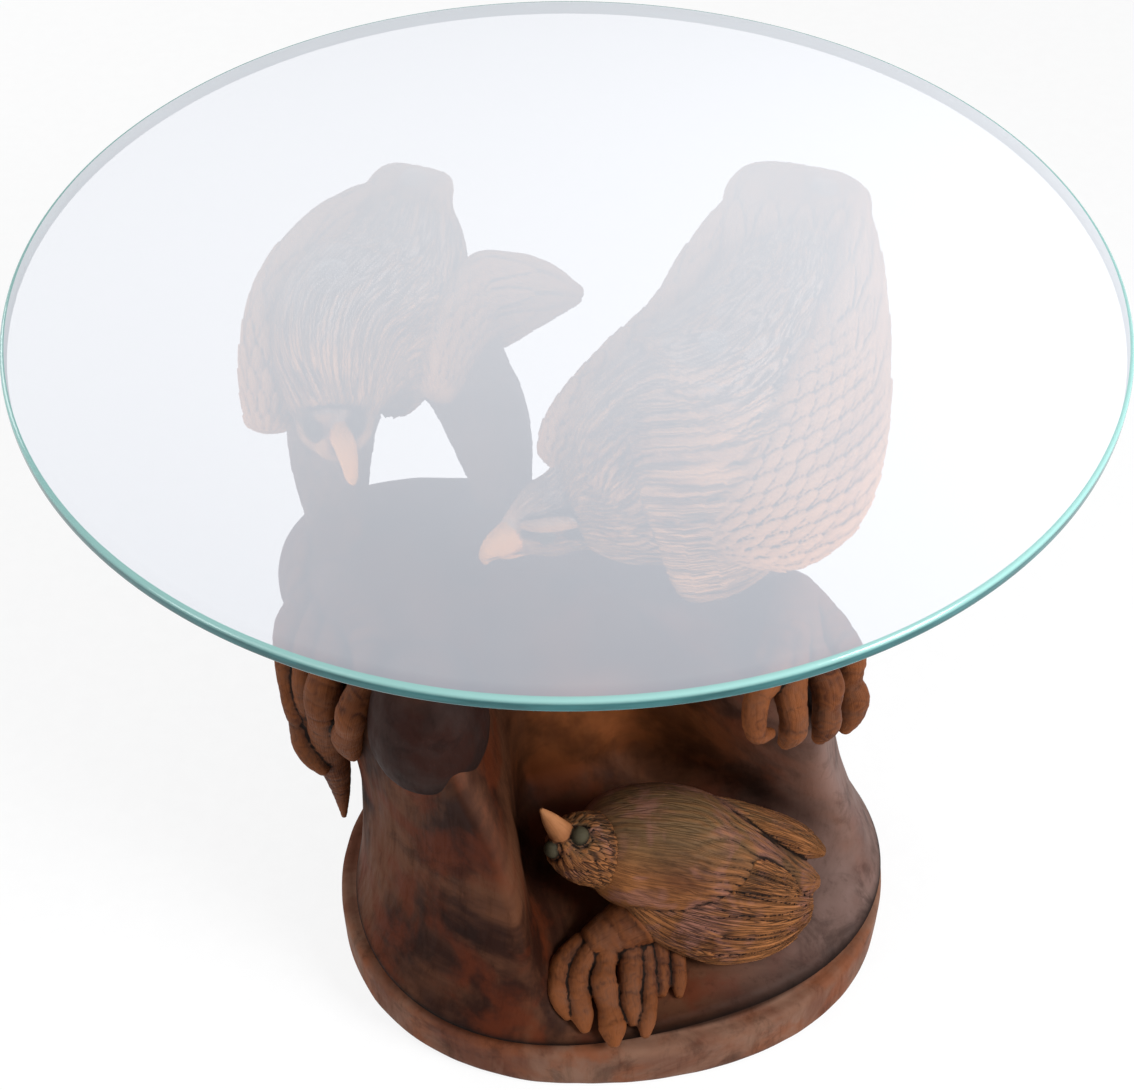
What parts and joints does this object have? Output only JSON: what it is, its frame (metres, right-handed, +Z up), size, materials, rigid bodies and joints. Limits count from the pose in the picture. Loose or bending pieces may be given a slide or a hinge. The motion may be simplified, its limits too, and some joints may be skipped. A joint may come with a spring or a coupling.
{
  "type": "coffee table",
  "caption": "Low table: a round clear glass top rests on eagles carved from wood, perched on a hollowed stump with a nestling in its hollow.",
  "frame": {"origin": "on the floor under the middle of the round glass top", "axes": "+Z up, +X to the viewer's right, +Y away from the viewer; the hollow and the rear eagle face -Y"},
  "size_m": [0.7, 0.7, 0.52],
  "materials": {
    "glass": "clear polished float glass with a green-blue edge",
    "pad": "clear soft plastic",
    "carved_wood": "carved, orange-brown stain, satin",
    "smooth_wood": "smooth, grey-brown stain, satin",
    "dowel": "plain beech"
  },
  "bodies": {
    "base": {"glass_pads": "pad", "plinth": "smooth_wood", "stump": "smooth_wood", "boulder": "smooth_wood", "rear_eagle_body": "carved_wood", "rear_eagle_left_wing": "carved_wood", "rear_eagle_right_wing": "carved_wood", "rear_eagle_tail": "carved_wood", "rear_eagle_left_leg": "carved_wood", "rear_eagle_right_leg": "carved_wood", "rear_eagle_foot": "carved_wood", "right_eagle_body": "carved_wood", "right_eagle_left_wing": "carved_wood", "right_eagle_right_wing": "carved_wood", "right_eagle_tail": "carved_wood", "right_eagle_foot": "carved_wood", "nestling_body": "carved_wood", "nestling_head": "carved_wood", "nestling_feet": "carved_wood", "dowels": "dowel"},
    "glass": {"glass_top": "glass"}
  },
  "joints": [
    {"name": "glass_lift", "type": "slide", "parent": "base", "child": "glass", "axis": [0, 0, 1], "range_m": [0, 0.15]}
  ]
}
